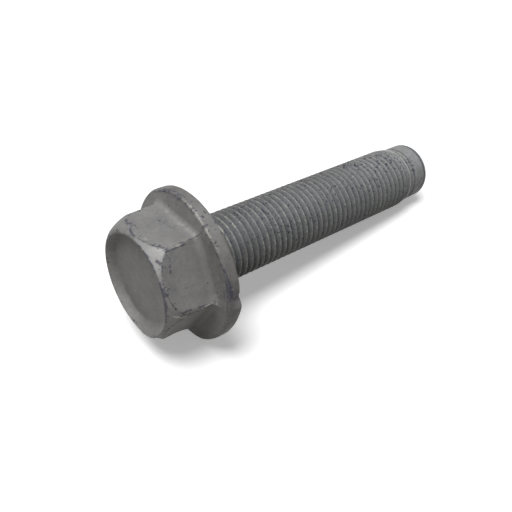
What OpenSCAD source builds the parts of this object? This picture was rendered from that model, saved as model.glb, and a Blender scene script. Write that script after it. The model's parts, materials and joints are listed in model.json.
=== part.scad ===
// Hexagon flange bolt with a dished head, a full-length fine thread and a plain pilot point.
// It is one forged piece. It lies as it comes to rest, on its flange rim and its point,
// with one flat of the hexagon upward. The origin is the centre of the bearing face,
// +X runs level from the head towards the point and +Z is up.
// Lengths are in millimetres and angles in degrees.

/* [Shank] */
// Diameter over the thread crests
thread_d = 12; // [11:0.1:12.4]
// Distance from the bearing face to the end of the thread
thread_len = 50.1; // [30:0.1:54]
// Length over which the last crests taper off
runout_len = 1.8; // [0.5:0.1:3]
// Diameter of the crests where the thread ends
runout_d = 11.4; // [11.2:0.1:12]
// Radius of the fillet between the bearing face and the shank
neck_fillet = 0.5; // [0.2:0.1:1]

/* [Pilot point] */
// Diameter of the plain point
point_d = 11; // [10.4:0.1:11.2]
// Length of the plain point from the end of the thread to the tip
point_len = 5.8; // [4:0.1:9]
// Distance from the end of the thread to the groove around the point
groove_start = 1.3; // [0.6:0.1:2]
// Width of that groove
groove_len = 0.5; // [0.3:0.1:0.8]
// Depth of that groove
groove_depth = 0.3; // [0.1:0.1:0.6]
// Radius of the rounding at the tip
tip_rounding = 1; // [0.4:0.1:1.6]

/* [Hexagon] */
// Width of the hexagon across its flats
hex_af = 18.6; // [16:0.1:20]
// Height of the head from the bearing face to its top
head_h = 10.9; // [9:0.1:14]
// Diameter of the circle where the top chamfer meets the dish
crown_d = 17.6; // [15:0.1:18]
// Slope of the top chamfer where it leaves the dish, measured from the top plane
chamfer_angle = 42; // [30:1:50]
// Radius of the bulge that makes the chamfer steeper towards the corners
chamfer_bulge_r = 7.1; // [6.5:0.1:30]

/* [Dish] */
// Depth of the dish in the head
dish_depth = 1.4; // [0.4:0.1:2.5]
// Diameter of the floor of the dish, before its fillet
dish_floor_d = 15; // [12:0.1:15.2]
// Radius of the fillet around the floor
dish_fillet = 0.8; // [0.3:0.1:1.2]

/* [Flange] */
// Diameter of the flange
flange_d = 25.9; // [23:0.1:30]
// Thickness of the rim below the middle of each flat
rim_h = 2.2; // [1.4:0.1:3.5]
// Slope of the six facets on top of the flange
facet_angle = 11; // [6:1:18]
// Radius of the fillet between a flat and its facet
facet_fillet = 1.2; // [0.5:0.1:2]
// Rounding of the rim at the bearing face
rim_rounding = 0.6; // [0.2:0.1:0.9]

/* [Rim damage] */
// Angle of the dent from the top of the rim, towards -Y
dent_turn = 84; // [60:1:120]
// Depth of the dent
dent_depth = 0.2; // [0.1:0.1:1]
// Radius of the ball that would fit the dent
dent_ball_r = 2; // [1:0.5:8]
// Angle of the raised burr beside the dent, from the top of the rim
burr_turn = 98; // [70:1:140]
// Height of the burr above the rim
burr_h = 0.9; // [0.1:0.1:1.2]
// Radius of the ball whose cap is the burr
burr_ball_r = 7; // [4:0.5:10]

/* [Hidden] */
$fn = 96;
thread_r = thread_d / 2;
point_r = point_d / 2;
bolt_len = thread_len + point_len;
flange_r = flange_d / 2;
crown_r = crown_d / 2;
// How far a cutting or limiting shape runs past what it cuts.
spare = 1;
// A fillet bites this far into the two faces that it joins, so that it cuts each along a clean line.
// Every second fillet around the hexagon bites twice as far, so that no four faces share a corner.
bite = 0.01;
// Turn of the seam in the round surfaces from the line on which the bolt lies.
seam_turn = 2;

// The facets leave the flats at this height, and reach the rim at the rim's thickness.
facet_top = rim_h + (flange_r - hex_af / 2) * tan(facet_angle);
// Half the angle between a flat and its facet sets how far the fillet reaches along each.
facet_reach = facet_fillet * tan((90 - facet_angle) / 2);

// Centre of the chamfer's arc.
chamfer_x = crown_r - chamfer_bulge_r * sin(chamfer_angle);
chamfer_y = head_h - chamfer_bulge_r * cos(chamfer_angle);

// Slope of the dish wall from the top plane, and where its fillet touches the floor.
dish_angle = atan2(dish_depth, crown_r - dish_floor_d / 2);
dish_reach = dish_fillet * tan(dish_angle / 2);

// A line under the rim touches either the point or the last full crests first.
// Each candidate is a rounding: its centre's distance along the axis and from it, and its radius.
function contact_tilt(along, out, r) =
    let (fall = flange_r - rim_rounding - out, run = along + rim_rounding)
    atan2(fall, run) + asin((rim_rounding - r) / norm([fall, run]));
rest_tilt = min(
    contact_tilt(bolt_len - tip_rounding, point_r - tip_rounding, tip_rounding),
    contact_tilt(thread_len - runout_len, thread_r, 0)
);

// What a flat and its facet leave out of the forging, as a section beyond the flat.
module flat_cut_section(fillet_bite) {
    flat_x = hex_af / 2;
    outer_x = flange_r + spare;
    difference() {
        polygon([
            [flat_x, facet_top],
            [outer_x, facet_top - (outer_x - flat_x) * tan(facet_angle)],
            [outer_x, head_h + spare],
            [flat_x, head_h + spare]
        ]);
        polygon([
            [flat_x - spare, facet_top],
            [flat_x, facet_top - spare],
            [flat_x + facet_reach * cos(facet_angle), facet_top - facet_reach * sin(facet_angle)],
            [flat_x, facet_top + facet_reach],
            [flat_x - spare, facet_top + facet_reach]
        ]);
    }
    translate([flat_x + facet_fillet, facet_top + facet_reach])
        circle(r = facet_fillet + fillet_bite);
}

module flat_cut(flat) {
    rotate([0, 0, 60 * flat]) rotate([90, 0, 0])
        linear_extrude(height = flange_d, center = true) flat_cut_section(bite * (1 + flat % 2));
}

// Hollow of the dish, with the top plane of the head at height zero.
module dish_section() {
    floor_r = dish_floor_d / 2;
    difference() {
        polygon([
            [0, -dish_depth],
            [floor_r, -dish_depth],
            [crown_r, 0],
            [crown_r, spare],
            [0, spare]
        ]);
        polygon([
            [floor_r - dish_reach, -dish_depth - spare],
            [floor_r + spare, -dish_depth - spare],
            [floor_r + dish_reach * cos(dish_angle), -dish_depth + dish_reach * sin(dish_angle)],
            [floor_r - dish_reach, -dish_depth]
        ]);
    }
    translate([floor_r - dish_reach, -dish_depth + dish_fillet]) circle(r = dish_fillet + bite);
}

// What a lathe would leave of the head: the rounded rim, the chamfered crown and the dish.
module turned_section() {
    difference() {
        union() {
            translate([0, rim_rounding]) square([flange_r, head_h]);
            square([flange_r - rim_rounding, head_h]);
            translate([flange_r - rim_rounding, rim_rounding]) circle(r = rim_rounding);
        }
        difference() {
            translate([crown_r, chamfer_y]) square([flange_r, head_h]);
            translate([chamfer_x, chamfer_y]) circle(r = chamfer_bulge_r);
        }
        translate([0, head_h]) square([crown_r, head_h]);
        translate([0, head_h]) dish_section();
    }
}

// Shank and point, with the tip upward and the bearing face at height zero.
module shank_section() {
    full_len = thread_len - runout_len;
    difference() {
        union() {
            translate([0, -spare]) square([thread_r, spare + full_len]);
            polygon([
                [0, full_len], [thread_r, full_len], [runout_d / 2, thread_len], [0, thread_len]
            ]);
            translate([0, thread_len]) square([point_r, point_len - tip_rounding]);
            square([point_r - tip_rounding, bolt_len]);
            translate([point_r - tip_rounding, bolt_len - tip_rounding]) circle(r = tip_rounding);
            square([thread_r + neck_fillet, neck_fillet]);
        }
        translate([thread_r + neck_fillet, neck_fillet]) circle(r = neck_fillet);
        translate([point_r - groove_depth, thread_len + groove_start])
            square([groove_depth + spare, groove_len]);
    }
}

// Places a child that was drawn on +X at an angle from the top of the rim, towards -Y.
module around_rim(turn) {
    rotate([0, 0, 180 + turn]) children();
}

module burr() {
    intersection() {
        around_rim(burr_turn) translate([flange_r + burr_h - burr_ball_r, 0, -rim_rounding])
            sphere(r = burr_ball_r);
        translate([0, 0, -rim_h]) cylinder(r = flange_r + burr_h, h = rim_h);
    }
}

module dent() {
    around_rim(dent_turn) translate([flange_r - dent_depth + dent_ball_r, 0, -rim_rounding])
        sphere(r = dent_ball_r);
}

// Turns a section around the axis. Its seam is kept off the lines on which the bolt lies.
module turned() {
    rotate([0, 0, seam_turn]) rotate_extrude() children();
}

// The head is drawn with its top upward and turned over, so the tip points along +Z.
module head() {
    mirror([0, 0, 1]) difference() {
        turned() turned_section();
        for (flat = [0:5]) flat_cut(flat);
    }
}

module flange_bolt() {
    color([0.42, 0.42, 0.41]) rotate([0, 90 + rest_tilt, 0]) difference() {
        union() {
            head();
            turned() shank_section();
            burr();
        }
        dent();
    }
}

flange_bolt();
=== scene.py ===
"""Looks of the hexagon flange bolt: one worn, coated mesh, with its floor, light and camera."""

import json
import math

import bmesh
import bpy
import numpy as np
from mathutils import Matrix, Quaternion, Vector, noise


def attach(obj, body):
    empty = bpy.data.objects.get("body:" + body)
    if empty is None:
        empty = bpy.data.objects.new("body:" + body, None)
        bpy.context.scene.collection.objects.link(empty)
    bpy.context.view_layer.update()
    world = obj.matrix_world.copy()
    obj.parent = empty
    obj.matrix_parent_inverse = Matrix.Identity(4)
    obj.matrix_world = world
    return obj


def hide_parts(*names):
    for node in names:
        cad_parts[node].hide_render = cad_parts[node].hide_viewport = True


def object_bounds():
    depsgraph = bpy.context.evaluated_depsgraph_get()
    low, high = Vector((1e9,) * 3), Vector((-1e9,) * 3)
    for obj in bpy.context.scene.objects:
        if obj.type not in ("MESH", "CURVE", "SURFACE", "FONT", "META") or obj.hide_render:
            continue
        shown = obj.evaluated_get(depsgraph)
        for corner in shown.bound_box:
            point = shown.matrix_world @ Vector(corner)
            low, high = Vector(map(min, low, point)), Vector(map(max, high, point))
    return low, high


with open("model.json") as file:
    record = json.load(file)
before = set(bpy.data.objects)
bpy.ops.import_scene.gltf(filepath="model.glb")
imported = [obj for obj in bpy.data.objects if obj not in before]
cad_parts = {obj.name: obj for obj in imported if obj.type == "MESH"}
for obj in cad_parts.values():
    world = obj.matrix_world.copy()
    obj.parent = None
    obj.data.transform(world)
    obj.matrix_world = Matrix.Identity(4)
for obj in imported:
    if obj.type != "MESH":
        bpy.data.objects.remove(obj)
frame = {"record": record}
cad_low, cad_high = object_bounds()

MM = 0.001
MOUNTS = {m["name"]: m for m in frame["record"]["mounts"]}

# Sizes of the bolt in millimetres, as in the part's source. Places along the axis count from
# the bearing face, positive towards the tip.
THREAD_R = MOUNTS["thread"]["dims"]["r_mm"]
POINT_R = MOUNTS["pilot_point"]["dims"]["r_mm"]
THREAD_END = 50.1
RUNOUT_LEN = 1.8
RUNOUT_R = 5.7
POINT_LEN = 5.8
GROOVE_START = 1.3
GROOVE_LEN = 0.5
GROOVE_DEPTH = 0.3
TIP_ROUNDING = 1.0
NECK_FILLET = 0.5
HEX_APOTHEM = 9.3
HEAD_TOP = -10.9
CROWN_R = 8.8
CHAMFER_ANGLE = math.radians(42)
CHAMFER_BULGE_R = 7.1
DISH_DEPTH = 1.4
DISH_FLOOR_R = 7.5
DISH_FILLET = 0.8
FLANGE_R = 12.95
RIM_H = 2.2
FACET_SLOPE = math.tan(math.radians(11))
FACET_FILLET = 1.2
RIM_ROUNDING = 0.6
# Height above the bearing face at which the facets leave the flats.
FACET_TOP = RIM_H + (FLANGE_R - HEX_APOTHEM) * FACET_SLOPE
# Half of the angle that one flat of the hexagon takes up.
HALF_FLAT = math.pi / 6
CORNER_R = HEX_APOTHEM / math.cos(HALF_FLAT)

# The thread that the solid leaves to this script: M12 x 1.25, right-handed.
PITCH = 1.25
THREAD_DEPTH = 0.767
THREAD_FROM = 0.6
THREAD_RUN_IN = 1.2
THREAD_RUN_OUT = 0.4
# Share of its depth at each place within one pitch, from the middle of a crest.
THREAD_SECTION = [
    (0, 0), (0.055, 0), (0.1, 0.08), (0.25, 0.5), (0.42, 1), (0.58, 1), (0.75, 0.5), (0.9, 0.08), (0.945, 0),
]

# Small rounding of the forged and turned edges.
CORNER_ROUND = 0.3
CROWN_ROUND = 0.2
CHAMFER_ROUND = 0.2
RIM_EDGE_ROUND = 0.5
RIDGE_ROUND = 4.0
STEP_ROUND = 0.08
CHAMFER_JOIN_R = 8.98

# How readily nicks gather at the milder edges, where 1 is an edge of the head.
RIM_BACK_EDGE = 0.7
COLLAR_EDGE = 0.6
TIP_EDGE = 0.4

# Columns of the mesh over the middle of a flat, over each zone beside a corner, and over the corner's
# rounding. The zones start this far from the corner.
FLAT_COLUMNS = 10
ZONE_COLUMNS = 8
CORNER_COLUMNS = 4
CORNER_ZONE = math.radians(11)

# Rows of the mesh along each section, as (steps before a corner, steps over its rounding).
DISH_STEPS = [(14, 8), (6, 6), (2, 0)]
CHAMFER_ROWS = 9
HEXAGON_STEPS = [(2, 4), (30, 12), (12, 7), (4, 0)]
RIM_STEPS = [(3, 8), (6, 4), (1, 0)]
POINT_STEPS = [(1, 0), (6, 2), (1, 2), (2, 2), (1, 2), (12, 8), (5, 0)]
# Points closer than this are merged, and edges shorter than this are dissolved, in millimetres.
MERGE_DISTANCE = 0.0015
SHORTEST_EDGE = 0.0005
# Slack when places are compared, in millimetres.
SLACK = 0.01

# Hexagon corners by their angle from the top, towards -Y: how deep each is worn off at distances
# from the head's top, as (distance, depth). Then over what depth the wear blends into the flats, and
# the cosine of the angle from a corner up to which its wear acts.
CORNER_WEAR = {
    -150: [(0, 0.1), (7, 0)],
    -90: [(0, 0.15), (4, 0.1), (7, 0)],
    -30: [(0, 0.22), (4, 0.14), (7, 0)],
    30: [(0, 0.26), (3.2, 0.2), (5, 0.03), (7, 0)],
    90: [(0, 0.5), (3, 0.42), (5.5, 0.1), (7, 0)],
    150: [(0, 0.75), (2, 0.75), (3.8, 0.92), (5.7, 0.45), (7, 0)],
}
WEAR_BLEND = 0.12
WEAR_COSINE = 0.87
LEAST_COSINE = 0.5

# Radial changes of the rim by angle from the top, towards -Y, as (degrees, millimetres). The rim
# was upset a little to one side, and the damage fades out towards its front.
RIM_SHIFT = [
    (0, 0), (50, 0.1), (72, 0.4), (110, 0.4), (148, 0.45), (158, 0.25), (170, 0),
    (240, 0), (285, -0.25), (310, -0.25), (340, 0),
]
RIM_DAMAGE = [
    (77, 0), (80, -0.12), (83.5, -0.42), (86.5, 0.1), (89.5, 0.43), (92, 0.43), (97, 0.3), (104, 0.14),
    (115, 0),
]
# How far inside the rim the shift starts, and over what lengths the shift and the damage grow to full.
RIM_SHIFT_INSET = 3
RIM_SHIFT_SPAN = 2.6
RIM_DAMAGE_SPAN = 0.6 * RIM_H
# Radial changes of the crown, pressed out at one corner and in at the one across, in the same terms.
# They fade out inward over the dish's wall, and along the axis over the chamfer.
CROWN_SHIFT = [
    (0, -0.08), (12, 0), (128, 0), (142, 0.35), (152, 0.45), (166, 0.42), (180, 0.08), (190, 0), (290, 0),
    (312, -0.28), (338, -0.28), (360, -0.08),
]
CROWN_SHIFT_INSET = 0.1
CROWN_SHIFT_FROM = HEAD_TOP + 0.05
CROWN_SHIFT_SPAN = 0.45

# Unevenness of the forging, in millimetres: broad and fine, with how often each comes and its depth.
BROAD_SCALE = 0.35
BROAD_DEPTH = 0.05
FINE_SCALE = 1.3
FINE_DEPTH = 0.03
FINE_OFFSET = Vector((7, 3, 1))
HEAD_INSET = 0.004
SHANK_INSET = 0.002

# Scraped and smudged places on the head, as (along the axis, degrees from the top, radius, strength).
SCARS = [
    (-9.3, -16, 1.2, 0.45), (-7.6, -2, 0.5, 0.8), (-5.3, -4, 1.1, 0.9), (-5.0, 9, 0.9, 0.8),
    (-8.1, 37, 0.7, 1.0), (-8.8, 47, 0.7, 0.9), (-9.1, 63, 0.7, 0.8), (-6.6, 77, 0.5, 0.9),
    (-2.1, -14, 0.6, 1.0), (-2.1, -4, 0.6, 1.1), (-2.0, 6, 0.5, 1.0), (-2.0, 15, 0.4, 0.8),
    (-1.8, 74, 0.9, 1.1), (-1.7, 82, 1.1, 1.3), (-9.0, 95, 0.8, 0.8), (-6.0, 150, 1.5, 0.8),
    (-8.5, -75, 1.3, 0.9), (-5.0, -120, 1.2, 0.8), (-2.2, -150, 1.5, 0.8),
]
# Places where the coat is rubbed light, in the same terms.
RUBS = [
    (-10.0, 30, 0.6, 0.9), (-9.6, 12, 0.5, 0.7), (-3.2, 89.3, 0.3, 1.0), (-9.4, 90, 0.4, 1.2),
    (-8.6, 90.5, 0.35, 1.1), (-10.4, 62, 0.6, 0.7), (-5.5, -30, 0.7, 0.9), (-7.0, -90, 0.8, 1.0),
]
# Scratches as strokes between two places (along the axis, degrees from the top), with half width
# and strength.
LIGHT_STROKES = [
    ((-9.55, 25.5), (-9.15, 29.3), 0.14, 1.5),
    ((-7.2, 31.2), (-5.6, 31.0), 0.16, 1.5),
    ((-9.1, 31.6), (-9.8, 34.2), 0.12, 1.4),
    ((-9.9, 89.6), (-8.1, 93.2), 0.16, 1.6),
    ((-4.9, 88.8), (-3.3, 89.2), 0.13, 1.3),
    ((-3.3, 89.2), (-2.8, 91.2), 0.13, 1.3),
]
DARK_STROKES = [
    ((-9.3, 26.5), (-8.8, 30.2), 0.14, 1.1),
    ((-8.7, 31.8), (-5.3, 32.4), 0.16, 1.1),
    ((-10.1, 35.4), (-9.8, 38.4), 0.25, 1.3),
    ((-8.2, 37.5), (-8.3, 39.5), 0.16, 1.0),
    ((-8.5, 45.0), (-8.8, 48.5), 0.18, 0.85),
    ((-8.9, 86.6), (-4.5, 87.9), 0.14, 1.1),
    ((-9.5, -25.5), (-9.3, -23.5), 0.22, 1.3),
    ((-9.4, -18.0), (-9.0, -11.5), 0.16, 1.2),
    ((-10.35, -7.5), (-10.5, -0.5), 0.2, 1.3),
    ((-6.8, -0.8), (-6.7, 1.5), 0.15, 1.2),
    ((-2.15, 60.0), (-2.05, 70.0), 0.16, 1.1),
    ((-3.0, 30.3), (-2.35, 30.3), 0.12, 0.75),
    ((-0.9, 19.0), (-0.8, 20.5), 0.16, 1.1),
    ((-1.6, 21.6), (-1.6, 22.6), 0.2, 1.3),
    ((-1.8, 27.8), (-1.7, 29.0), 0.14, 1.2),
    ((-1.1, 33.5), (-1.3, 30.8), 0.25, 0.85),
    ((-1.7, 43.5), (-1.6, 44.6), 0.12, 1.1),
    ((-2.0, 70.0), (-1.8, 80.0), 0.3, 1.2),
]
# Spots, strokes and the chamfer's polish and painted highlight start at this distance from the axis.
MARKS_FROM_R = CROWN_R + 0.1

# How far wear reaches from the worn edges and corners, and how wide the dark lines are.
EDGE_REACH = 0.55
CORNER_REACH = 0.3
LINE_REACH = 0.14

# Marks on the hexagon's flats end this far in front of the rim, and start where the chamfer is this
# far inside the corners' distance from the axis.
FACET_MARGIN = 0.9
CORNER_MARGIN = 0.5

# How light the corners of the hexagon are rubbed, and by angle the rim's front (rubbed, with a painted
# highlight), the crown's edge, the chamfer (polished, with a painted highlight) and the fillets above the
# facets (a painted highlight).
BARE_CORNERS = {-150: 0.5, -90: 0.6, -30: 0.3, 30: 0.35, 90: 0.5, 150: 0.5}
RIM_RUB_AND_HIGHLIGHT = [(0, 0.4), (10, 0.8), (34, 0.85), (44, 0.5), (60, 0.35), (80, 0.3), (340, 0.3), (360, 0.4)]
BARE_CROWN = [(0, 0.3), (20, 0.1), (125, 0.2), (150, 0.8), (260, 0.8), (330, 0.5), (360, 0.3)]
CHAMFER_POLISH_AND_HIGHLIGHT = [
    (0, 0.25), (14, 0.6), (27, 1), (42, 0.9), (56, 0.5), (75, 0.15), (110, 0.05), (340, 0.05), (360, 0.25),
]
FILLET_HIGHLIGHT = [
    (0, 0.5), (15, 0.75), (29, 0.85), (36, 0.25), (60, 0.1), (120, 0.1), (320, 0.1), (340, 0.4), (360, 0.5),
]
# The rim's front is rubbed and given a painted highlight from this far inside it, by this strength and
# power of the nearness to its edge. Then how far the rubs on the crown and the painted highlight on the
# fillets reach, and over what lengths the chamfer's polish and painted highlight fade out towards its
# lower edge and the crown.
RIM_RUB_AND_HIGHLIGHT_INSET = 1.5
RIM_RUB_AND_HIGHLIGHT_STRENGTH = 1.15
RIM_RUB_AND_HIGHLIGHT_POWER = 2.2
BARE_CROWN_REACH = 0.2
FILLET_HIGHLIGHT_REACH = FACET_FILLET / 1.7
CHAMFER_POLISH_AND_HIGHLIGHT_FADE = 0.3
CHAMFER_POLISH_AND_HIGHLIGHT_SPAN = 0.2

# Painted highlight on the shank's upper side, by angle, and how that grows along the axis.
SHANK_HIGHLIGHT = [(0, 1), (25, 0.6), (60, 0.5), (90, 0.1), (180, 0), (270, 0), (315, 1), (360, 1)]
SHANK_HIGHLIGHT_LENGTH = [(0, 0), (16, 0), (24, 0.06), (35, 0.08), (42, 0.3), (51, 0.38), (52.3, 0.15), (56, 0.15)]

# How dark the nicked line is along the crown, the chamfer's lower edge and the rim's front, by
# angle, and along the corners, and where it runs.
CROWN_LINE = [
    (0, 0.35), (14, 1.15), (88, 1.15), (104, 0.3), (140, 0.3), (160, 0.75), (320, 0.75), (345, 0.35),
    (360, 0.35),
]
CROWN_LINE_WIDTH = [(0, 1), (52, 1), (70, 1.8), (92, 1.8), (105, 1), (360, 1)]
CROWN_LINE_REACH = 2.2 * LINE_REACH
CROWN_LINE_R = CROWN_R + 1.5 * LINE_REACH
CHAMFER_LINE = [
    (0, 0.8), (25, 0.85), (35, 0.7), (75, 0.8), (110, 0.6), (320, 0.5), (345, 0.35), (354, 0.5), (360, 0.8),
]
RIM_LINE = [
    (0, 0.8), (12, 0.35), (28, 0.3), (34, 0.85), (84, 0.9), (100, 0.4), (300, 0.4), (330, 0.8), (360, 0.8),
]
RIM_LINE_R = FLANGE_R - 0.4
RIM_LINE_END = -RIM_H + 0.3
CORNER_LINES = {-150: 0.4, -90: 0.5, -30: 0.3, 30: 0.85, 90: 0.8, 150: 0.4}

# Painted shade around the dish's floor and on it, and by angle how much painted shade and painted highlight
# the dish's wall gets.
DISH_SHADE = 0.9
DISH_SHADE_R = DISH_FLOOR_R + 0.4
DISH_SHADE_REACH = 0.8
DISH_FLOOR_SHADE = 0.5
WALL_SHADE = [(0, 0), (108, 0), (132, 0.6), (158, 0.5), (178, 0), (360, 0)]
WALL_HIGHLIGHT = [(0, 0), (168, 0), (190, 0.12), (222, 0.12), (245, 0), (360, 0)]
# Painted shade on the facets, by angle, which thins out away from the flats' feet and grows outward.
FACET_SHADE = [
    (0, 0.05), (26, 0.08), (34, 0.5), (50, 0.8), (80, 0.8), (110, 0.5), (240, 0.6), (300, 0.4), (360, 0.05),
]
FACET_SHADE_REACH = 1.6
FACET_SHADE_R = HEX_APOTHEM + 0.4
FACET_SHADE_SPAN = 1.5
FACET_SHADE_END = -RIM_H + 0.2
FACET_INNER_SHARE = 0.6
FACET_OUTER_SHARE = 0.5
FACET_OUTER_R = 10.8
FACET_OUTER_SPAN = 1.2
# Painted shade in the bend between the flats and the facets, by angle.
BEND_SHADE = [(38, 0), (50, 0.55), (80, 0.55), (88, 0)]
BEND_ALONG = -FACET_TOP - 0.3
BEND_REACH = 0.8
BEND_END_R = HEX_APOTHEM + 2.2
# Painted shade on the rim and the hexagon's flats, by angle, and in the neck under the head.
RIM_SHADE = [
    (0, 0.9), (8, 0.45), (17, 0), (40, 0.05), (56, 0.6), (72, 0.95), (100, 0.75), (150, 0.6), (230, 0.4),
    (320, 0.7), (345, 1.1), (360, 0.9),
]
RIM_SHADE_R = FLANGE_R - 1.2
RIM_SHADE_SPAN = 0.9
RIM_SHADE_END = 0.1
FLAT_SHADE = [(0, 0), (88, 0), (96, 0.5), (150, 0.55), (230, 0.3), (300, 0), (360, 0)]
NECK_REACH = 1.5
# Painted shade on the shank and the point, by angle, with more or less of it along the axis.
SHANK_SHADE = [
    (0, 0.45), (14, 0.1), (30, 0), (44, 0.05), (58, 0.4), (75, 0.55), (90, 0.45), (180, 0.4), (328, 0.85),
    (345, 0.65), (360, 0.45),
]
SHANK_SHADE_LENGTH = [
    (0, 0.4), (4, 0.1), (8, 0.25), (15, 0.1), (36, 0.05), (43, -0.15), (51.8, -0.15), (52.3, 0.15),
    (56, 0.15),
]
SHANK_SHADE_R = THREAD_R + 0.1

# Rings of painted highlight and of painted shade around the thread's end and the point, as (along, half
# width, strength).
HIGHLIGHT_RINGS = [(50.0, 0.2, 1.55), (51.32, 0.12, 1.3)]
SHADE_RINGS = [(49.55, 0.2, 0.6), (50.7, 0.35, 0.5), (51.68, 0.22, 1.1), (54.75, 0.28, 1.2)]

# The bolt's axis in the row frame, and the two directions across it.
AXIS = Vector(MOUNTS["bearing_face"]["axis"]).normalized()
SIDE = Vector((0, -1, 0))
UP = SIDE.cross(AXIS)

# The photograph's camera: where it stands and looks, in millimetres, and its roll and lens.
CAMERA_PLACE = Vector((-38.96, -65.58, 70.39))
CAMERA_FORWARD = Vector((0.4598, 0.5721, -0.6792))
CAMERA_ROLL = math.radians(-1.284)
CAMERA_LENS = 44.08
# The camera sees nothing nearer than this, in millimetres.
CAMERA_NEAREST = 5

# Colours of the coat and its wear, and of its painted shade and painted highlights.
COAT_DARK = (0.244, 0.24, 0.235, 1)
COAT_PALE = (0.3, 0.297, 0.293, 1)
COAT_GRAIN = (0.2, 0.197, 0.192, 1)
COAT_MOTTLE = (0.2, 0.197, 0.205, 1)
RING = (0.62, 0.62, 0.6, 1)
PAINTED_SHADE = (0.12, 0.115, 0.11, 1)
RUBBED_AND_HIGHLIGHT = (0.42, 0.41, 0.375, 1)
POLISH_AND_HIGHLIGHT = (0.405, 0.402, 0.4, 1)
NICKED = (0.06, 0.06, 0.085, 1)
SMUDGED = (0.11, 0.11, 0.12, 1)
ROOT_SHADE = (0.092, 0.096, 0.104, 1)
PITTED = (0.035, 0.04, 0.07, 1)
SHANK_DARK = (0.178, 0.184, 0.19, 1)
SHANK_PALE = (0.265, 0.272, 0.277, 1)
CREST_RUB_AND_HIGHLIGHT = (0.47, 0.462, 0.405, 1)
POINT_PALE = (0.33, 0.335, 0.345, 1)

# Noises of the coat, its wear and its painted shade and highlights, as (scale per millimetre, detail,
# roughness).
BLOTCHES = (0.4, 5.0, 0.6)
GRAIN = (6.0, 4.0, 0.7)
MOTTLES = (1.7, 4.0, 0.65)
RAGGED_THREAD = (2.4, 4.0, 0.65)
RUB_AND_HIGHLIGHT_BREAKS = (0.8, 4.0, 0.6)
NICK_CLUSTERS = (0.3, 2.0, 0.55)
NICKS = (1.9, 3.0, 0.6)
SMUDGES = (0.9, 5.0, 0.7)
CREST_BREAKS = (1.1, 6.0, 0.8)
CREST_STRETCHES = (0.16, 2.0, 0.55)
SHADE_CLOUDS = (0.9, 5.0, 0.65)
LINE_BREAKS = (1.3, 4.0, 0.6)
PIT_CLUSTERS = (0.22, 3.0, 0.55)
PITS = (2.0, 3.0, 0.6)
PIT_STRETCH = (1.3, 0.9, 0.9)

# Spans over which a pattern or a place starts to show and is full, as (start, full), and where it
# isn't 0 to 1 also its (value at the start, value when full).
COAT_SPAN = (0.3, 0.7)
GRAIN_SPAN = (0.25, 0.75, 0, 0.55)
MOTTLE_SPAN = (0.42, 0.68, 0, 0.5)
SHANK_SPAN = (0, 0.5)
POINT_SPAN = (51.7, 52)
POINT_WEAR_SPAN = (0.3, 0.62, 0.45, 0.95)
RAGGED_SPAN = (0.3, 0.7, -0.2, 0.25)
CREST_SPAN = (0.16, -0.05)
CREST_BREAK_SPAN = (0.36, 0.62)
CREST_STRETCH_SPAN = (0.38, 0.6, 0.35, 1)
CREST_COVER_SPAN = (4, 26, 1.5, 0.85)
SHADE_SPAN = (0.3, 0.7, 0.25, 0.8)
POLISH_AND_HIGHLIGHT_SPAN = (0.25, 0.6, 0.6, 1)
RUB_AND_HIGHLIGHT_BREAK_SPAN = (0.3, 0.7, -0.4, 0.15)
RUB_AND_HIGHLIGHT_SPAN = (0.2, 0.85)
RING_SPAN = (1.1, 1.6, 0, 0.8)
SMUDGE_SPAN = (0.38, 0.62)
NICK_CLUSTER_SPAN = (0.42, 0.58)
NICK_EDGE_SPAN = (0.05, 0.6)
NICK_SPAN = (0.66, 0.72)
LINE_BREAK_SPAN = (0.3, 0.7, -0.45, 0.25)
LINE_SPAN = (0.35, 0.85)
ROOT_SHADE_SPAN = (0.3, 1, 0, 0.85)
PIT_CLUSTER_SPAN = (0.4, 0.65, 0, 0.05)
PIT_UPPER_SPAN = (1, 5.5, 0, 0.045)
PIT_SPAN = (0.66, 0.7)
ROUGHNESS_SPAN = (0.2, 0.8, 0.5, 0.68)

# How strongly a layer covers the coat where it is full, and what the edges and scars add to the nicks.
RUB_AND_HIGHLIGHT_COVER = 0.8
SMUDGE_COVER = 0.5
NICK_COVER = 0.7
LINE_COVER = 0.75
PIT_COVER = 0.85
NICKS_AT_EDGES = 0.14
NICKS_AT_SCARS = 0.11

# Surface of the coat: its relief in millimetres and how it reflects.
RELIEF_STRENGTH = 0.5
RELIEF_DEPTH = 0.03
NICK_RELIEF = 0.8
METALLIC = 0.12
SPECULAR = 0.2

# Light: where the lamp stands in millimetres, its strength and width, the surround's strength, and
# the floor's colour as it lights the bolt and as the camera sees it.
KEY_FROM = Vector((-80, -18, 410))
KEY_STRENGTH = 2.7
KEY_WIDTH = math.radians(30)
SURROUND = 0.15
WHITE = (1, 1, 1, 1)
FLOOR_METRES = 4
FLOOR_BOUNCE = (0.15, 0.14, 0.12, 1)
FLOOR_SEEN = (0.95, 0.95, 0.95, 1)
FLOOR_GLOW = 0.33


def smooth(t):
    """Eases a share from 0 to 1."""
    t = np.clip(t, 0, 1)
    return t * t * (3 - 2 * t)


def rise(value, start, span):
    """Eases from 0 at a start to 1 at a span beyond it."""
    return smooth((value - start) / span)


def falloff(distance, reach):
    """1 at no distance, fading to nothing over about twice the reach."""
    return np.exp(-(distance / reach) ** 2)


def by_angle(angles, table):
    """Value at each column from a table of (degrees from the top, value)."""
    return np.interp(np.degrees(angles) % 360, *zip(*table))


def along_axis(along, table):
    """Value at places along the axis from a table of (place, value)."""
    return np.interp(along, *zip(*table))


def turned_from(turn, angles):
    """Signed turn in radians of each column from an angle in degrees."""
    return (angles - math.radians(turn) + math.pi) % (2 * math.pi) - math.pi


def from_flat_middle(angles):
    """Turn in radians of a column from the middle of its flat."""
    return abs((angles + HALF_FLAT) % (2 * HALF_FLAT) - HALF_FLAT)


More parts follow.
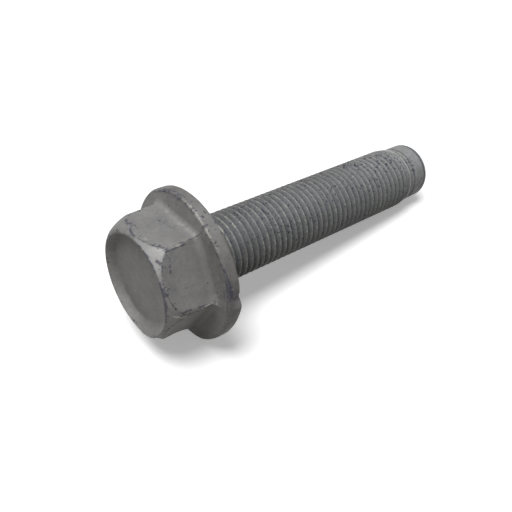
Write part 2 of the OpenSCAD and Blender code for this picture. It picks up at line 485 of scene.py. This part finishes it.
def rounded_path(corners, steps):
    """Points (along, out, edge) along an open path of corners (along, out, rounding, wear).

    steps holds (line steps before a corner, arc steps over it) for each corner after the first,
    so paths of like corners have as many points. edge tells how near a worn corner is, 0 to 1."""
    place = [np.array(c[:2], float) for c in corners]
    points = []
    here = place[0]
    for i in range(1, len(corners)):
        line_steps, arc_steps = steps[i - 1]
        rounding = corners[i][2]
        first = last = place[i]
        if rounding:
            back = place[i - 1] - place[i]
            on = place[i + 1] - place[i]
            back /= np.linalg.norm(back)
            on /= np.linalg.norm(on)
            half = math.acos(np.clip(back @ on, -1, 1)) / 2
            reach = rounding / math.tan(half)
            first = place[i] + back * reach
            last = place[i] + on * reach
            middle = (back + on) / np.linalg.norm(back + on)
            centre = place[i] + middle * rounding / math.sin(half)
            sweep = math.pi - 2 * half
        for j in range(line_steps):
            points.append(here + (first - here) * j / line_steps)
        for j in range(arc_steps):
            t = j / arc_steps
            arm = math.sin((1 - t) * sweep) * (first - centre) + math.sin(t * sweep) * (last - centre)
            points.append(centre + arm / math.sin(sweep))
        here = last
    points.append(here)
    worn = [(place[i], c[3]) for i, c in enumerate(corners) if c[3]]
    return [(p[0], p[1], nearness(p, worn)) for p in points]


def nearness(point, worn):
    """How near a point is to the nearest worn corner, from 0 to that corner's own wear."""
    marks = [wear * falloff(np.linalg.norm(point - corner), EDGE_REACH) for corner, wear in worn]
    return max(marks, default=0)


def corner_arc(rounding):
    """Distance of a hexagon corner's rounding centre from the axis, and half the angle it takes up."""
    centre = (HEX_APOTHEM - rounding) / math.cos(HALF_FLAT)
    out = centre + rounding * math.cos(HALF_FLAT)
    return centre, math.atan2(rounding * math.sin(HALF_FLAT), out)


def column_angles():
    """Angles once around the bolt from the top, closer together towards each hexagon corner."""
    arc = corner_arc(CORNER_ROUND)[1]
    near = HALF_FLAT - CORNER_ZONE
    sector = np.concatenate([
        np.linspace(-near, near, FLAT_COLUMNS, endpoint=False),
        np.linspace(near, HALF_FLAT - arc, ZONE_COLUMNS, endpoint=False),
        np.linspace(HALF_FLAT - arc, HALF_FLAT + arc, CORNER_COLUMNS, endpoint=False),
        np.linspace(HALF_FLAT + arc, 2 * HALF_FLAT - near, ZONE_COLUMNS, endpoint=False),
    ])
    turn = np.concatenate([sector + k * 2 * HALF_FLAT for k in range(6)])
    first = FLAT_COLUMNS // 2
    return np.concatenate([turn[first:], turn[:first + 1] + 2 * math.pi])


def hexagon_stretch(angle, rounding):
    """Radius of the rounded hexagon at an angle, as a share of its apothem."""
    centre, arc = corner_arc(rounding)
    from_corner = HALF_FLAT - from_flat_middle(angle)
    if from_corner >= arc:
        return 1 / math.cos(from_flat_middle(angle))
    across = centre * math.sin(from_corner)
    return (centre * math.cos(from_corner) + math.sqrt(rounding**2 - across**2)) / HEX_APOTHEM


def chamfer_along(out):
    """Place along the axis of the bulging chamfer at a distance from the axis."""
    centre = CROWN_R - CHAMFER_BULGE_R * math.sin(CHAMFER_ANGLE)
    steepness = math.asin((out - centre) / CHAMFER_BULGE_R)
    return HEAD_TOP + CHAMFER_BULGE_R * (math.cos(CHAMFER_ANGLE) - math.cos(steepness))


def dish_rows():
    """The dish and the first part of the chamfer, alike all round."""
    corners = [
        (HEAD_TOP + DISH_DEPTH, 0, 0, 0),
        (HEAD_TOP + DISH_DEPTH, DISH_FLOOR_R, DISH_FILLET, 0),
        (HEAD_TOP, CROWN_R, CROWN_ROUND, 1),
        (chamfer_along(CHAMFER_JOIN_R), CHAMFER_JOIN_R, 0, 0),
    ]
    return rounded_path(corners, DISH_STEPS)


def hexagon_rows(angle):
    """Chamfer, flat, fillet, facet and the front of the rim, in one section at that angle."""
    stretch = hexagon_stretch(angle, CORNER_ROUND)
    soft = hexagon_stretch(angle, RIDGE_ROUND)
    rim = FLANGE_R / soft
    edge = HEX_APOTHEM * stretch
    before = edge - 2 * CHAMFER_ROUND
    bulge = np.linspace(CHAMFER_JOIN_R, before, CHAMFER_ROWS)[1:-1]
    chamfer = [(chamfer_along(out), out, 0) for out in bulge]
    corners = [
        (chamfer_along(before), before / stretch, 0, 0),
        (chamfer_along(edge), HEX_APOTHEM, CHAMFER_ROUND, 1),
        (-FACET_TOP, HEX_APOTHEM, FACET_FILLET, 0),
        ((rim - HEX_APOTHEM) * FACET_SLOPE - FACET_TOP, rim, RIM_EDGE_ROUND, 1),
        (-RIM_H / 2, rim, 0, 0),
    ]
    path = rounded_path(corners, HEXAGON_STEPS)
    ridge = [rise(out, HEX_APOTHEM, rim - HEX_APOTHEM) for along, out, near in path]
    return chamfer + [
        (along, out * (stretch + (soft - stretch) * share), near)
        for (along, out, near), share in zip(path, ridge)
    ]


def rim_rows():
    """Back of the rim, bearing face and the fillet under the head."""
    corners = [
        (-RIM_H / 2, FLANGE_R, 0, 0),
        (0, FLANGE_R, RIM_ROUNDING, RIM_BACK_EDGE),
        (0, THREAD_R, NECK_FILLET, 0),
        (THREAD_FROM, THREAD_R, 0, 0),
    ]
    return rounded_path(corners, RIM_STEPS)[1:]


def point_rows():
    """Step at the last crest, collar, groove, plain point and its rounded tip."""
    tip = THREAD_END + POINT_LEN
    groove = THREAD_END + GROOVE_START
    corners = [
        (THREAD_END, RUNOUT_R, 0, 1),
        (THREAD_END, POINT_R, 0, 0),
        (groove, POINT_R, STEP_ROUND, COLLAR_EDGE),
        (groove, POINT_R - GROOVE_DEPTH, STEP_ROUND, 0),
        (groove + GROOVE_LEN, POINT_R - GROOVE_DEPTH, STEP_ROUND, 0),
        (groove + GROOVE_LEN, POINT_R, STEP_ROUND, 1),
        (tip, POINT_R, TIP_ROUNDING, TIP_EDGE),
        (tip, 0, 0, 0),
    ]
    return rounded_path(corners, POINT_STEPS)[1:]


def thread_rows(angles):
    """Rows that follow the helix, each an array of along, out and share of depth over the columns."""
    turns = int((THREAD_END - THREAD_FROM) / PITCH) + 1
    taper_from = THREAD_END - RUNOUT_LEN
    rows = []
    for turn in range(-1, turns + 1):
        for phase, share in THREAD_SECTION:
            along = THREAD_FROM + PITCH * (turn + phase + angles / (2 * math.pi))
            along = np.clip(along, THREAD_FROM, THREAD_END)
            run_in = smooth((along - THREAD_FROM) / THREAD_RUN_IN)
            run_out = smooth((THREAD_END - along) / THREAD_RUN_OUT)
            taper = np.clip((along - taper_from) / RUNOUT_LEN, 0, 1)
            crest = THREAD_R - (THREAD_R - RUNOUT_R) * taper
            cut = THREAD_R - THREAD_DEPTH * share * run_in * run_out
            out = np.minimum(crest, cut)
            rows.append((along, out, (crest - out) / THREAD_DEPTH))
    return rows


def all_round(points, angles):
    """Rows of (along, out, edge) arrays over the columns, from points that are alike all round."""
    return [tuple(np.full(len(angles), value) for value in point) for point in points]


def bolt_rows(angles):
    """Every row of the mesh from the dish's middle to the tip, as (along, out, edge, hollow) arrays."""
    sections = np.array([hexagon_rows(a) for a in angles])
    hexagon = [tuple(sections[:, i, k] for k in range(3)) for i in range(sections.shape[1])]
    plain = all_round(dish_rows(), angles) + hexagon + all_round(rim_rows(), angles)
    point = all_round(point_rows(), angles)
    flat = np.zeros(len(angles))
    with_hollow = [(along, out, edge, flat) for along, out, edge in plain]
    thread = [(along, out, flat, hollow) for along, out, hollow in thread_rows(angles)]
    return with_hollow + thread + [(along, out, edge, flat) for along, out, edge in point]


def corner_wear(along, out, angles):
    """Distances from the axis of one row, with the hexagon's corners worn back to small flats."""
    from_top = along - HEAD_TOP
    for turn, depths in CORNER_WEAR.items():
        away = np.cos(angles - math.radians(turn))
        limit = (CORNER_R - along_axis(from_top, depths)) / np.maximum(away, LEAST_COSINE)
        share = np.clip(0.5 + 0.5 * (limit - out) / WEAR_BLEND, 0, 1)
        worn = limit + (out - limit) * share - WEAR_BLEND * share * (1 - share)
        wear_end = depths[-1][0]
        out = np.where((from_top < wear_end) & (away > WEAR_COSINE), worn, out)
    return out


def rim_change(along, out, angles):
    """Radial change of one row from the rim's shift and damage."""
    inward = rise(out, FLANGE_R - RIM_SHIFT_INSET, RIM_SHIFT_SPAN)
    behind = rise(along, -RIM_H, RIM_DAMAGE_SPAN)
    change = inward * (by_angle(angles, RIM_SHIFT) + by_angle(angles, RIM_DAMAGE) * behind)
    return np.where(along > SLACK, 0, change)


def crown_change(along, out, angles):
    """Radial change of one row from the crown's shift, which fades out over the wall and the chamfer."""
    inside = rise(out, DISH_FLOOR_R, CROWN_R - DISH_FLOOR_R - CROWN_SHIFT_INSET)
    inside = inside * (along < HEAD_TOP + DISH_DEPTH + SLACK)
    below = 1 - rise(along, CROWN_SHIFT_FROM, CROWN_SHIFT_SPAN)
    return by_angle(angles, CROWN_SHIFT) * np.where(out < CROWN_R, inside, below)


def unevenness(place):
    """Small inward unevenness of the forged head, in millimetres."""
    if place.x > 0:
        return -SHANK_INSET
    broad = noise.noise(place * BROAD_SCALE) * 0.5 + 0.5
    fine = noise.noise(place * FINE_SCALE + FINE_OFFSET) * 0.5 + 0.5
    return -HEAD_INSET - BROAD_DEPTH * broad - FINE_DEPTH * fine


def corner_nearness(out, angles, turn, reach):
    """How near points of a row are to the hexagon corner at an angle from the top, 0 to 1."""
    return falloff(turned_from(turn, angles) * out, reach)


def on_dish_wall(along, out):
    """Whether points of a row lie on the slope between the dish's floor and the crown."""
    return (out > DISH_FLOOR_R) & (out < CROWN_R) & (along < HEAD_TOP + DISH_DEPTH)


def on_hexagon(along, out):
    """Whether points of a row lie on the hexagon between its chamfer and the facets."""
    in_front = along < -RIM_H - FACET_MARGIN
    behind = along > chamfer_along(CORNER_R - CORNER_MARGIN)
    return in_front & behind & (out > CHAMFER_JOIN_R)


def chamfer_edges(angles):
    """Places along the axis of the chamfer's lower edge over the columns."""
    return np.array([chamfer_along(HEX_APOTHEM * hexagon_stretch(a, CORNER_ROUND)) for a in angles])


def spotted(spots, along, out, angles):
    """Strength of a list of spots over one row outside the dish."""
    marks = np.zeros(len(angles))
    for spot_along, turn, radius, strength in spots:
        distance = np.hypot(along - spot_along, turned_from(turn, angles) * out)
        marks = np.maximum(marks, strength * falloff(distance, radius))
    return np.where(out > MARKS_FROM_R, marks, 0)


def stroked(strokes, along, out, angles):
    """Strength of a list of strokes over one row outside the dish."""
    marks = np.zeros(len(angles))
    for (start, turn), (end, end_turn), half_width, strength in strokes:
        here = np.array([along - start, turned_from(turn, angles) * out])
        run = np.array([np.full(len(angles), end - start), math.radians(end_turn - turn) * out])
        share = np.clip((here * run).sum(axis=0) / (run * run).sum(axis=0), 0, 1)
        distance = np.linalg.norm(here - run * share, axis=0)
        marks = np.maximum(marks, strength * falloff(distance, half_width))
    return np.where(out > MARKS_FROM_R, marks, 0)


def ringed(along, rings):
    """Strength of the rings around the point over one row, 0 to 1."""
    return np.max([strength * falloff(along - ring, width) for ring, width, strength in rings], axis=0)


def along_corners(strengths, reach, along, out, angles):
    """Strongest mark over one row along the hexagon's corners, from their strengths by angle."""
    marks = [corner_nearness(out, angles, turn, reach) * strength for turn, strength in strengths.items()]
    return np.where(on_hexagon(along, out), np.max(marks, axis=0), 0)


def lined(along, out, angles):
    """Strength of the dark nicked lines along the head's edges over one row, 0 to 1."""
    width = CROWN_LINE_REACH * by_angle(angles, CROWN_LINE_WIDTH)
    crown = falloff(np.hypot(along - HEAD_TOP, out - CROWN_LINE_R), width) * by_angle(angles, CROWN_LINE)
    chamfer = falloff(along - chamfer_edges(angles), LINE_REACH) * by_angle(angles, CHAMFER_LINE)
    chamfer = np.where(out > CHAMFER_JOIN_R, chamfer, 0)
    corner = along_corners(CORNER_LINES, LINE_REACH, along, out, angles)
    rim = falloff(out - RIM_LINE_R, LINE_REACH) * by_angle(angles, RIM_LINE) * (along < RIM_LINE_END)
    strokes = stroked(DARK_STROKES, along, out, angles)
    return np.max([crown, chamfer, rim, corner, strokes], axis=0)


def painted_shade_at(along, out, angles):
    """Strength of the painted shade over one row, 0 to 1."""
    around_floor = np.hypot(along - HEAD_TOP - DISH_DEPTH, out - DISH_SHADE_R)
    dish = DISH_SHADE * falloff(around_floor, DISH_SHADE_REACH)
    floor = np.where((out < DISH_FLOOR_R) & (along < HEAD_TOP + 2 * DISH_DEPTH), DISH_FLOOR_SHADE, 0)
    wall = on_dish_wall(along, out) * by_angle(angles, WALL_SHADE)
    facet = falloff(along + FACET_TOP, FACET_SHADE_REACH) * rise(out, FACET_SHADE_R, FACET_SHADE_SPAN)
    facet = facet * (FACET_INNER_SHARE + FACET_OUTER_SHARE * rise(out, FACET_OUTER_R, FACET_OUTER_SPAN))
    facet = np.where(along < FACET_SHADE_END, facet * by_angle(angles, FACET_SHADE), 0)
    bend = falloff(along - BEND_ALONG, BEND_REACH) * (out < BEND_END_R) * by_angle(angles, BEND_SHADE)
    rim = rise(out, RIM_SHADE_R, RIM_SHADE_SPAN) * by_angle(angles, RIM_SHADE) * (along < RIM_SHADE_END)
    flats = np.where(on_hexagon(along, out), by_angle(angles, FLAT_SHADE), 0)
    neck = falloff(np.hypot(along, out - THREAD_R), NECK_REACH)
    shank = np.clip(by_angle(angles, SHANK_SHADE) + along_axis(along, SHANK_SHADE_LENGTH), 0, 1)
    shank = np.where((out < SHANK_SHADE_R) & (along > 0), shank, 0)
    return np.max([dish, floor, wall, facet, bend, rim, flats, neck, shank], axis=0)


def polished_and_highlit_at(along, out, angles):
    """How far the chamfer is polished with a painted highlight, and the dish's wall and the shank's upper
    side get a painted highlight, over one row, 0 to 1.
    """
    chamfer = rise(chamfer_edges(angles) - along, 0, CHAMFER_POLISH_AND_HIGHLIGHT_FADE) * by_angle(angles, CHAMFER_POLISH_AND_HIGHLIGHT)
    chamfer = chamfer * rise(out, MARKS_FROM_R, CHAMFER_POLISH_AND_HIGHLIGHT_SPAN)
    wall = on_dish_wall(along, out) * by_angle(angles, WALL_HIGHLIGHT)
    shank = by_angle(angles, SHANK_HIGHLIGHT) * along_axis(along, SHANK_HIGHLIGHT_LENGTH)
    return np.max([chamfer, wall, shank], axis=0)


def rubbed_and_highlit_at(along, out, edge, angles):
    """How far the coat is rubbed light over one row: corners, crown and marks; the rim's front rubbed with a
    painted highlight; painted highlights on the fillets and rings.
    """
    corner = along_corners(BARE_CORNERS, CORNER_REACH, along, out, angles)
    to_fillet = np.hypot(along + FACET_TOP, out * np.cos(from_flat_middle(angles)) - HEX_APOTHEM)
    fillet = falloff(to_fillet, FILLET_HIGHLIGHT_REACH) * by_angle(angles, FILLET_HIGHLIGHT)
    crown = falloff(np.hypot(along - HEAD_TOP, out - CROWN_R), BARE_CROWN_REACH)
    crown = crown * by_angle(angles, BARE_CROWN)
    front = np.where((out > FLANGE_R - RIM_RUB_AND_HIGHLIGHT_INSET) & (along < -RIM_H / 2), edge, 0)
    front = RIM_RUB_AND_HIGHLIGHT_STRENGTH * front**RIM_RUB_AND_HIGHLIGHT_POWER * by_angle(angles, RIM_RUB_AND_HIGHLIGHT)
    spots = spotted(RUBS, along, out, angles)
    strokes = stroked(LIGHT_STROKES, along, out, angles)
    return np.max([corner, fillet, crown, front, spots, strokes, ringed(along, HIGHLIGHT_RINGS)], axis=0)


def near_edges(along, out, edge, angles):
    """How near one row is to the worn edges, with the hexagon's corners added, 0 to 1."""
    every_corner = dict.fromkeys(CORNER_WEAR, 1)
    return np.maximum(edge, along_corners(every_corner, EDGE_REACH, along, out, angles))


def bolt_mesh():
    """The whole bolt as one closed mesh, with masks for its material."""
    angles = column_angles()
    columns = len(angles)
    rows = bolt_rows(angles)
    verts, place = [], []
    masks = {"edge": [], "line": [], "painted_shade": [], "hollow": [], "scar": [], "rubbed_and_highlit": [], "polish_and_highlight": []}
    for along_row, out_row, edge_row, hollow_row in rows:
        worn_row = corner_wear(along_row, out_row + crown_change(along_row, out_row, angles), angles)
        worn_row = worn_row + rim_change(along_row, out_row, angles)
        for along, out, angle in zip(along_row, worn_row, angles):
            local = Vector((along, out * math.cos(angle), out * math.sin(angle)))
            out = max(out + unevenness(local), 0)
            across = UP * math.cos(angle) + SIDE * math.sin(angle)
            verts.append((AXIS * along + across * out) * MM)
            place.append(local)
        # Besides wear, the masks carry painted shade in recesses and by angle, rubs and polish with painted
        # highlights, and painted shade in the thread's roots and rings.
        masks["edge"].append(near_edges(along_row, out_row, edge_row, angles))
        masks["line"].append(lined(along_row, out_row, angles))
        masks["painted_shade"].append(painted_shade_at(along_row, out_row, angles))
        masks["hollow"].append(np.maximum(hollow_row, ringed(along_row, SHADE_RINGS)))
        masks["scar"].append(spotted(SCARS, along_row, worn_row, angles))
        masks["rubbed_and_highlit"].append(rubbed_and_highlit_at(along_row, out_row, edge_row, angles))
        masks["polish_and_highlight"].append(polished_and_highlit_at(along_row, out_row, angles))
    faces = []
    for i in range(len(rows) - 1):
        for j in range(columns - 1):
            a = i * columns + j
            faces.append((a, a + 1, a + columns + 1, a + columns))

    mesh = bpy.data.meshes.new("flange_bolt_coated")
    mesh.from_pydata(verts, [], faces)
    where = mesh.attributes.new("place", "FLOAT_VECTOR", "POINT")
    where.data.foreach_set("vector", np.array(place, np.float32).ravel())
    for name, values in masks.items():
        mask = mesh.attributes.new(name, "FLOAT", "POINT")
        mask.data.foreach_set("value", np.array(values, np.float32).ravel())
    form = bmesh.new()
    form.from_mesh(mesh)
    bmesh.ops.remove_doubles(form, verts=form.verts, dist=MERGE_DISTANCE * MM)
    bmesh.ops.dissolve_degenerate(form, edges=form.edges, dist=SHORTEST_EDGE * MM)
    bmesh.ops.recalc_face_normals(form, faces=form.faces)
    for face in form.faces:
        face.smooth = True
    form.to_mesh(mesh)
    form.free()
    return mesh


class Shading:
    """Short calls that add nodes to the tree of a material or a world."""

    def __init__(self, owner):
        owner.use_nodes = True
        self.tree = owner.node_tree
        self.shader = self.tree.nodes.get("Principled BSDF")

    def node(self, kind, **settings):
        made = self.tree.nodes.new("ShaderNode" + kind)
        for name, value in settings.items():
            setattr(made, name, value)
        return made

    def put(self, socket, value):
        if isinstance(value, bpy.types.NodeSocket):
            self.tree.links.new(value, socket)
        else:
            socket.default_value = value

    def attribute(self, name, output="Fac"):
        return self.node("Attribute", attribute_name=name).outputs[output]

    def math(self, operation, a, b):
        made = self.node("Math", operation=operation)
        self.put(made.inputs[0], a)
        self.put(made.inputs[1], b)
        return made.outputs[0]

    def plus(self, a, b):
        return self.math("ADD", a, b)

    def minus(self, a, b):
        return self.math("SUBTRACT", a, b)

    def times(self, a, b):
        return self.math("MULTIPLY", a, b)

    def stretched(self, place, scale):
        made = self.node("Mapping")
        self.put(made.inputs["Vector"], place)
        made.inputs["Scale"].default_value = scale
        return made.outputs[0]

    def noise(self, place, scale, detail, roughness):
        made = self.node("TexNoise")
        self.put(made.inputs["Vector"], place)
        made.inputs["Scale"].default_value = scale
        made.inputs["Detail"].default_value = detail
        made.inputs["Roughness"].default_value = roughness
        return made.outputs["Fac"]

    def span(self, value, low, high, to_low=0.0, to_high=1.0):
        made = self.node("MapRange", interpolation_type="SMOOTHSTEP")
        for socket, number in zip(made.inputs, (value, low, high, to_low, to_high)):
            self.put(socket, number)
        return made.outputs[0]

    def pattern(self, place, noise_shape, span):
        return self.span(self.noise(place, *noise_shape), *span)

    def mix(self, share, a, b):
        made = self.node("Mix", data_type="RGBA")
        self.put(made.inputs["Factor"], share)
        self.put(made.inputs["A"], a)
        self.put(made.inputs["B"], b)
        return made.outputs["Result"]

    def seen(self):
        """1 for what the camera sees directly, in a reflection or through glass, and otherwise 0."""
        rays = self.node("LightPath")
        direct = self.math("MAXIMUM", rays.outputs["Is Camera Ray"], rays.outputs["Is Glossy Ray"])
        return self.math("MAXIMUM", direct, rays.outputs["Is Transmission Ray"])


def coated_steel():
    """Zinc-flake coat: matt grey and blotchy, nicked and rubbed along its edges, with painted shade in
    recesses and in the thread, and painted highlights.
    """
    material = bpy.data.materials.new("zinc_flake_steel")
    s = Shading(material)
    place = s.attribute("place", "Vector")
    edge = s.attribute("edge")
    rubbed_and_highlit = s.attribute("rubbed_and_highlit")
    scar = s.attribute("scar")
    grain = s.noise(place, *GRAIN)
    breaks = s.noise(place, *RUB_AND_HIGHLIGHT_BREAKS)
    parted = s.node("SeparateXYZ")
    s.put(parted.inputs[0], place)
    along, upward = parted.outputs[0], parted.outputs[1]
    shank = s.span(along, *SHANK_SPAN)
    point = s.span(along, *POINT_SPAN)
    threaded = s.minus(shank, point)

    # The clean coat: blotchy on the head, darker on the shank and paler on the point.
    coat = s.mix(s.pattern(place, BLOTCHES, COAT_SPAN), COAT_DARK, COAT_PALE)
    coat = s.mix(s.span(grain, *GRAIN_SPAN), coat, COAT_GRAIN)
    coat = s.mix(s.pattern(place, MOTTLES, MOTTLE_SPAN), coat, COAT_MOTTLE)
    coat = s.mix(shank, coat, s.mix(s.span(grain, *COAT_SPAN), SHANK_DARK, SHANK_PALE))
    coat = s.mix(s.times(point, s.span(breaks, *POINT_WEAR_SPAN)), coat, POINT_PALE)

    # The thread's crests are rubbed light with a painted highlight in stretches, most of all near the head.
    ragged = s.plus(s.attribute("hollow"), s.pattern(place, RAGGED_THREAD, RAGGED_SPAN))
    crest = s.times(s.span(ragged, *CREST_SPAN), threaded)
    crest = s.times(crest, s.pattern(place, CREST_BREAKS, CREST_BREAK_SPAN))
    crest = s.times(crest, s.pattern(place, CREST_STRETCHES, CREST_STRETCH_SPAN))
    coat = s.mix(s.times(crest, s.span(along, *CREST_COVER_SPAN)), coat, CREST_RUB_AND_HIGHLIGHT)

    # Painted shade in the recesses and by angle, then polish, rubs and painted highlights.
    painted_shade = s.times(s.attribute("painted_shade"), s.pattern(place, SHADE_CLOUDS, SHADE_SPAN))
    coat = s.mix(painted_shade, coat, PAINTED_SHADE)
    polish_and_highlight_share = s.times(s.attribute("polish_and_highlight"), s.span(breaks, *POLISH_AND_HIGHLIGHT_SPAN))
    coat = s.mix(polish_and_highlight_share, coat, POLISH_AND_HIGHLIGHT)
    rub_and_highlight_share = s.span(s.plus(rubbed_and_highlit, s.span(breaks, *RUB_AND_HIGHLIGHT_BREAK_SPAN)), *RUB_AND_HIGHLIGHT_SPAN)
    coat = s.mix(s.times(rub_and_highlight_share, RUB_AND_HIGHLIGHT_COVER), coat, RUBBED_AND_HIGHLIGHT)
    coat = s.mix(s.span(rubbed_and_highlit, *RING_SPAN), coat, RING)

    # Smudges, and nicks that gather on scraped places and along the edges.
    smudge = s.times(scar, s.pattern(place, SMUDGES, SMUDGE_SPAN))
    coat = s.mix(s.times(smudge, SMUDGE_COVER), coat, SMUDGED)
    near_edge = s.times(s.span(edge, *NICK_EDGE_SPAN), s.pattern(place, NICK_CLUSTERS, NICK_CLUSTER_SPAN))
    nick_room = s.plus(s.times(near_edge, NICKS_AT_EDGES), s.times(scar, NICKS_AT_SCARS))
    nicks = s.span(s.plus(s.noise(place, *NICKS), nick_room), *NICK_SPAN)
    coat = s.mix(s.times(nicks, NICK_COVER), coat, NICKED)

    # Broken dark lines along the head's edges, and painted shade in the thread's roots and the point's
    # grooves and rings.
    line = s.plus(s.attribute("line"), s.pattern(place, LINE_BREAKS, LINE_BREAK_SPAN))
    coat = s.mix(s.times(s.span(line, *LINE_SPAN), LINE_COVER), coat, NICKED)
    coat = s.mix(s.span(ragged, *ROOT_SHADE_SPAN), coat, ROOT_SHADE)

    # Pits over the thread, in clusters and more of them on its upper side.
    pit_room = s.plus(s.pattern(place, PIT_CLUSTERS, PIT_CLUSTER_SPAN), s.span(upward, *PIT_UPPER_SPAN))
    pit_noise = s.plus(s.noise(s.stretched(place, PIT_STRETCH), *PITS), pit_room)
    pits = s.times(s.span(pit_noise, *PIT_SPAN), threaded)
    coat = s.mix(s.times(pits, PIT_COVER), coat, PITTED)

    bump = s.node("Bump")
    bump.inputs["Strength"].default_value = RELIEF_STRENGTH
    bump.inputs["Distance"].default_value = RELIEF_DEPTH * MM
    s.put(bump.inputs["Height"], s.minus(grain, s.times(s.plus(nicks, pits), NICK_RELIEF)))
    s.put(s.shader.inputs["Base Color"], coat)
    s.put(s.shader.inputs["Roughness"], s.span(grain, *ROUGHNESS_SPAN))
    s.put(s.shader.inputs["Normal"], bump.outputs[0])
    s.shader.inputs["Metallic"].default_value = METALLIC
    s.shader.inputs["Specular IOR Level"].default_value = SPECULAR
    return material


def build_bolt():
    """The dressed bolt, which takes the place of the solid."""
    piece = bpy.data.objects.new("flange_bolt_coated", bolt_mesh())
    bpy.context.scene.collection.objects.link(piece)
    piece.data.materials.append(coated_steel())
    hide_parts("flange_bolt")
    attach(piece, "root")


def add_floor():
    """A plain pale floor. The camera sees it near white, and it throws little light back up."""
    bpy.ops.mesh.primitive_plane_add(size=FLOOR_METRES, location=(0, 0, cad_low.z))
    floor = bpy.context.object
    floor.name = "floor"
    material = bpy.data.materials.new("pale_floor")
    s = Shading(material)
    seen = s.seen()
    s.put(s.shader.inputs["Base Color"], s.mix(seen, FLOOR_BOUNCE, FLOOR_SEEN))
    s.shader.inputs["Roughness"].default_value = 1.0
    s.shader.inputs["Specular IOR Level"].default_value = 0.0
    s.put(s.shader.inputs["Emission Color"], FLOOR_SEEN)
    s.put(s.shader.inputs["Emission Strength"], s.times(seen, FLOOR_GLOW))
    floor.data.materials.append(material)


def add_light():
    """One wide soft lamp high up on the head's side, and a dim even surround."""
    data = bpy.data.lights.new("key_lamp", "SUN")
    data.energy = KEY_STRENGTH
    data.angle = KEY_WIDTH
    lamp = bpy.data.objects.new("key_lamp", data)
    lamp.location = KEY_FROM * MM
    lamp.rotation_mode = "QUATERNION"
    lamp.rotation_quaternion = (-KEY_FROM).to_track_quat("-Z", "Y")
    bpy.context.scene.collection.objects.link(lamp)

    world = bpy.data.worlds.new("studio")
    bpy.context.scene.world = world
    s = Shading(world)
    background = s.tree.nodes["Background"]
    background.inputs["Color"].default_value = WHITE
    s.put(background.inputs["Strength"], s.span(s.seen(), 0, 1, SURROUND, 1))


def add_camera():
    """The camera that took the photograph, as far as it could be fitted."""
    data = bpy.data.cameras.new("photo_camera")
    data.lens = CAMERA_LENS
    data.clip_start = CAMERA_NEAREST * MM
    camera = bpy.data.objects.new("photo_camera", data)
    camera.location = CAMERA_PLACE * MM
    camera.rotation_mode = "QUATERNION"
    roll = Quaternion((0, 0, 1), CAMERA_ROLL)
    camera.rotation_quaternion = CAMERA_FORWARD.to_track_quat("-Z", "Y") @ roll
    bpy.context.scene.collection.objects.link(camera)
    bpy.context.scene.camera = camera


add_camera()
add_light()
add_floor()
build_bolt()
bpy.context.scene.view_settings.view_transform = "Standard"
